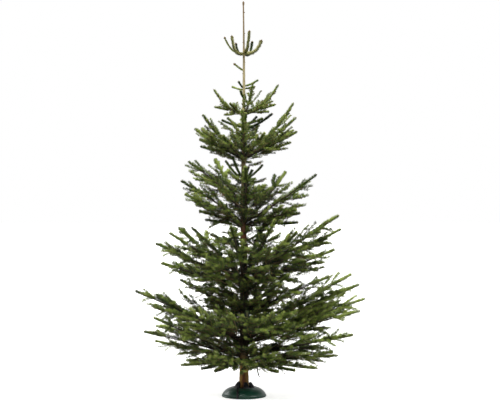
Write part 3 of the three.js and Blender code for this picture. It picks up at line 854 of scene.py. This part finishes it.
# A tiny plane to draw a shape out from.
def seedPlane():
    bpy.ops.object.select_all(action="DESELECT")
    bpy.ops.mesh.primitive_plane_add(size=mm, location=(0, 0, 0))
    bpy.ops.object.mode_set(mode="EDIT")
    bpy.ops.mesh.select_mode(type="VERT")
    bpy.ops.mesh.select_all(action="SELECT")


# A closed outline of radius and height, drawn out point by point and spun.
def spun(name, outline, steps, material, smooth):
    seedPlane()
    bpy.ops.mesh.merge(type="CENTER")
    r, z = outline[0]
    bpy.ops.transform.translate(value=(r * mm, 0, z * mm))
    for wide, high in outline[1:]:
        bpy.ops.mesh.extrude_vertices_move(
            TRANSFORM_OT_translate={"value": ((wide - r) * mm, 0, (high - z) * mm)})
        r, z = wide, high
    bpy.ops.mesh.select_all(action="SELECT")
    bpy.ops.mesh.spin(steps=steps, angle=math.tau, center=(0, 0, 0), axis=(0, 0, 1))
    closeUp(0.00002)
    return finished(name, material, 0, 0, smooth)


# An arm drawn out from its first section: out, height, lean, width and thickness of each.
def arm(sections, turn, bevel, shift=0):
    out, high, lean, wide, thick = sections[0]
    seedPlane()
    bpy.ops.transform.resize(value=(thick, wide, 1))
    tilt = Matrix.Rotation(math.radians(lean), 4, "Y")
    bpy.ops.object.mode_set(mode="OBJECT")
    bpy.context.object.data.transform(Matrix.Translation((out * mm, 0, high * mm)) @ tilt)
    bpy.ops.object.mode_set(mode="EDIT")
    for far, tall, slope, broad, deep in sections[1:]:
        bpy.ops.mesh.extrude_region_move(
            TRANSFORM_OT_translate={"value": ((far - out) * mm, 0, (tall - high) * mm)})
        centre = (far * mm, 0, tall * mm)
        grow, turnBy = (deep / thick, broad / wide, deep / thick), -math.radians(slope - lean)
        bpy.ops.transform.resize(value=grow, center_override=centre)
        bpy.ops.transform.rotate(value=turnBy, orient_axis="Y", center_override=centre)
        out, high, lean, wide, thick = far, tall, slope, broad, deep
    closeUp()
    bpy.ops.object.mode_set(mode="OBJECT")
    bpy.context.object.data.transform(
        Matrix.Translation((shift * mm, 0, 0)) @ Matrix.Rotation(turn, 4, "Z"))
    return finished("arm", blackPlastic, bevel, 3, 40)


def joined(name, pieces):
    bpy.ops.object.select_all(action="DESELECT")
    for each in pieces:
        each.select_set(True)
    bpy.context.view_layer.objects.active = pieces[0]
    bpy.ops.object.join()
    pieces[0].name = pieces[0].data.name = name
    return pieces[0]


# The dish: a flat foot, a rolled lip, a smooth dome and a raised ring round its mouth.
dish = {
    "radius": 141, "rim": 76, "height": 57, "edge": 9, "fullness": 1.5, "sink": 1.2, "steps": 120,
    "smooth": 35,
    "foot": [(0, 3), (112, 3), (115, 0), (134, 0)],
    "lip": [(139, 1.2), (141.4, 4), (141.4, 8), (139.8, 10.2), (137.4, 11.4)],
    "ring": [(91, 55), (89, 54.4), (87.2, 55.6), (84, 57.8), (79, 59), (73.5, 58.8), (70.2, 57.4)],
    "mouth": [(69, 54), (69, 20), (66, 15.5), (60, 14), (0, 14)],
}


def domeAt(turn, grow=0):
    out = dish["rim"] + (dish["radius"] - dish["rim"]) * math.cos(turn)
    high = dish["edge"] + (dish["height"] - dish["edge"]) * math.sin(turn) ** dish["fullness"]
    return out + grow * math.cos(turn), high + grow * math.sin(turn)


dome = [domeAt(math.radians(angle)) for angle in range(18, 73, 6)]
dome = [(r - dish["sink"], z) for r, z in dome]
outline = dish["foot"] + dish["lip"] + dome + dish["ring"] + dish["mouth"]
dishPiece = spun("dish_moulding", outline, dish["steps"], greenPlastic, dish["smooth"])
isPart(dishPiece, "stand_green", "stand_dish")

# The claws: a carrier ring in the mouth and five cranked arms on pins, each with a pad of teeth.
claw = {
    "count": 5, "first": -3, "steps": 96, "smooth": 35, "bevel": 1.8, "teeth": (-7, 0, 7),
    "toothBevel": 0.3,
    "ring": [(47, 38), (68.2, 38), (68.6, 41), (68.6, 50.5), (67, 53), (60, 61), (51, 63), (47, 60),
             (47, 38)],
    "arm": [(56, 42, -4, 34, 18), (56, 55, -14, 35, 19), (51.5, 64, -28, 33, 19), (46, 73, -33, 29, 18),
            (41, 81, -40, 25, 16), (37.6, 86, -56, 22, 13), (34.8, 88.6, -76, 20, 10)],
    "tooth": [(38, 84, -92, 2.8, 8), (35, 83.4, -92, 2.8, 7), (32.2, 83, -92, 1, 4)],
}
pin = {"radius": 3.6, "length": 40, "out": 59, "height": 56, "sides": 20, "bevel": 0.8}
clawParts = [spun("ring", claw["ring"], claw["steps"], blackPlastic, claw["smooth"])]
for k in range(claw["count"]):
    turn = math.radians(claw["first"] + 360 * k / claw["count"])
    ahead, aside = math.cos(turn) * mm, math.sin(turn) * mm
    clawParts.append(arm(claw["arm"], turn, claw["bevel"]))
    for side in claw["teeth"]:
        clawParts.append(arm(claw["tooth"], turn, claw["toothBevel"]))
        clawParts[-1].data.transform(Matrix.Translation((-side * aside, side * ahead, 0)))
    bpy.ops.object.select_all(action="DESELECT")
    bpy.ops.mesh.primitive_cylinder_add(
        vertices=pin["sides"], radius=pin["radius"] * mm, depth=pin["length"] * mm,
        rotation=(math.pi / 2, 0, turn),
        location=(pin["out"] * ahead, pin["out"] * aside, pin["height"] * mm))
    clawParts.append(finished("pin", blackPlastic, pin["bevel"], 2, 40))
clawPiece = joined("claw_set", clawParts)
isPart(clawPiece, "stand_black", "stand_claws")

# The foot lever: a flat bar down the dome's front, with a post and a round-headed tread on top.
lever = {
    "aside": -40, "width": 12, "thick": 7.5, "near": 33.5, "gap": 4.6,
    "down": (80, 66, 52, 40, 28, 16, 6), "post": [(76.5, 78, 0, 12, 7)],
    "elbow": (2, 66), "tip": (0.6, 3), "tipThick": 7,
    "head": [(75.5, 74, 0, 11, 8), (75, 82, 0, 12, 9), (74.5, 85, 0, 16, 13), (74.5, 91, 0, 17, 14),
             (74.5, 94, 0, 13, 10)],
    "bevel": 1.2, "headBevel": 2.2,
}
down = []
for angle in lever["down"]:
    r, z = domeAt(math.radians(angle), lever["gap"])
    down.append((math.sqrt(r * r - lever["near"] ** 2), z, 0, lever["width"], lever["thick"]))
elbow = (down[0][0] - lever["elbow"][0], lever["elbow"][1], 0, lever["width"], lever["thick"])
tip = (down[-1][0] + lever["tip"][0], lever["tip"][1], 0, lever["width"], lever["tipThick"])
path = lever["post"] + [elbow] + down + [tip]
leans = [math.degrees(math.atan2(b[0] - a[0], b[1] - a[1])) for a, b in zip(path, path[1:])]
leans = [leans[0]] + [(a + b) / 2 for a, b in zip(leans, leans[1:])] + [leans[-1]]
path = [(each[0], each[1], lean, each[3], each[4]) for each, lean in zip(path, leans)]
bar = arm(path, -math.pi / 2, lever["bevel"], lever["aside"])
head = arm(lever["head"], -math.pi / 2, lever["headBevel"], lever["aside"])
leverPiece = joined("foot_lever", [bar, head])
isPart(leverPiece, "stand_black", "stand_lever")
print("stand", [len(piece.data.polygons) for piece in (dishPiece, clawPiece, leverPiece)])

# Floor, room and camera, in metres. The paper glows a little and sends back less light than it shows,
# so that the crown's underside stays dark.
studio = {
    "white": "#f6f6f4", "bounce": "#9a9a9a", "glow": 0.72, "matt": 0.95, "floor": 120,
    "ambient": 0.7, "below": 0.06, "cove": 0.32,
    "camera": (0.0377, -8.3, 1.2412), "lens": 94.46, "sensor": 36,
}
paper, tree, place = newMaterial("paperBackdrop")
sheet = addNode(tree, "BsdfPrincipled", {
    "Base Color": linear(studio["white"]), "Roughness": studio["matt"],
    "Emission Color": linear(studio["white"]), "Emission Strength": studio["glow"]})
dim = addNode(tree, "BsdfPrincipled", {
    "Base Color": linear(studio["bounce"]), "Roughness": studio["matt"]})
seen = addNode(tree, "LightPath").outputs["Is Camera Ray"]
shader = addNode(tree, "MixShader", links={"Fac": seen, 1: dim.outputs[0], 2: sheet.outputs[0]})
addNode(tree, "OutputMaterial", links={"Surface": shader.outputs[0]})
bpy.ops.mesh.primitive_plane_add(size=studio["floor"], location=(0, 0, 0))
floor = bpy.context.object
floor.name = "floor"
floor.data.materials.append(paper)

# The room is white to the camera and lights the plant softly, with a sheen from behind on gloss.
world = bpy.data.worlds.new("studio")
bpy.context.scene.world = world
world.use_nodes = True
tree = world.node_tree
tree.nodes.clear()
rays = addNode(tree, "LightPath").outputs
place = addNode(tree, "TexCoord").outputs["Generated"]
axes = addNode(tree, "SeparateXYZ", links={"Vector": place}).outputs
sky = addNode(tree, "MapRange", {
    "From Min": -0.4, "From Max": 0.8, "To Min": studio["below"], "To Max": studio["ambient"]},
    {"Value": axes["Z"]})
cove = addNode(tree, "MapRange", {
    "From Min": -0.5, "From Max": 0.3, "To Max": studio["cove"]}, {"Value": axes["Y"]})
gloss = addNode(tree, "Math", {"operation": "MULTIPLY_ADD"},
                {0: cove.outputs[0], 1: rays["Is Glossy Ray"], 2: sky.outputs[0]})
level = addNode(tree, "MapRange", links={
    "Value": rays["Is Camera Ray"], "To Min": gloss.outputs[0]})
room = addNode(tree, "Background", {"Color": linear("#ffffff")}, {"Strength": level.outputs[0]})
addNode(tree, "OutputWorld", links={"Surface": room.outputs[0]})

# A soft sun and two large lamps: kind, energy, place, aim, and the angle or size.
lights = [
    ("SUN", 3.4, (-1.4, -2.4, 5.2), (0, 0, 0), "angle", math.radians(22)),
    ("AREA", 60, (3.8, -2.4, 2.6), (0, 0, 1.1), "size", 2.2),
    ("AREA", 60, (-3.6, 2.6, 3.0), (0, 0, 1.1), "size", 2.2),
]
for kind, energy, place, target, key, measure in lights:
    bpy.ops.object.light_add(type=kind, location=place)
    light = bpy.context.object
    light.data.energy = energy
    setattr(light.data, key, measure)
    x, y, z = [target[i] - place[i] for i in range(3)]
    light.rotation_euler = math.atan2(math.hypot(x, y), -z), 0, math.atan2(-x, y)

bpy.ops.object.camera_add(location=studio["camera"], rotation=(math.pi / 2, 0, 0))
camera = bpy.context.object
camera.data.sensor_width = studio["sensor"]
camera.data.lens = studio["lens"]
bpy.context.scene.camera = camera
bpy.context.scene.view_settings.view_transform = "Standard"
dressed = [piece for piece in bpy.data.objects if piece.type == "MESH" and "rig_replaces" in piece]
print("foliage triangles", sum(len(piece.data.polygons) for piece in dressed))
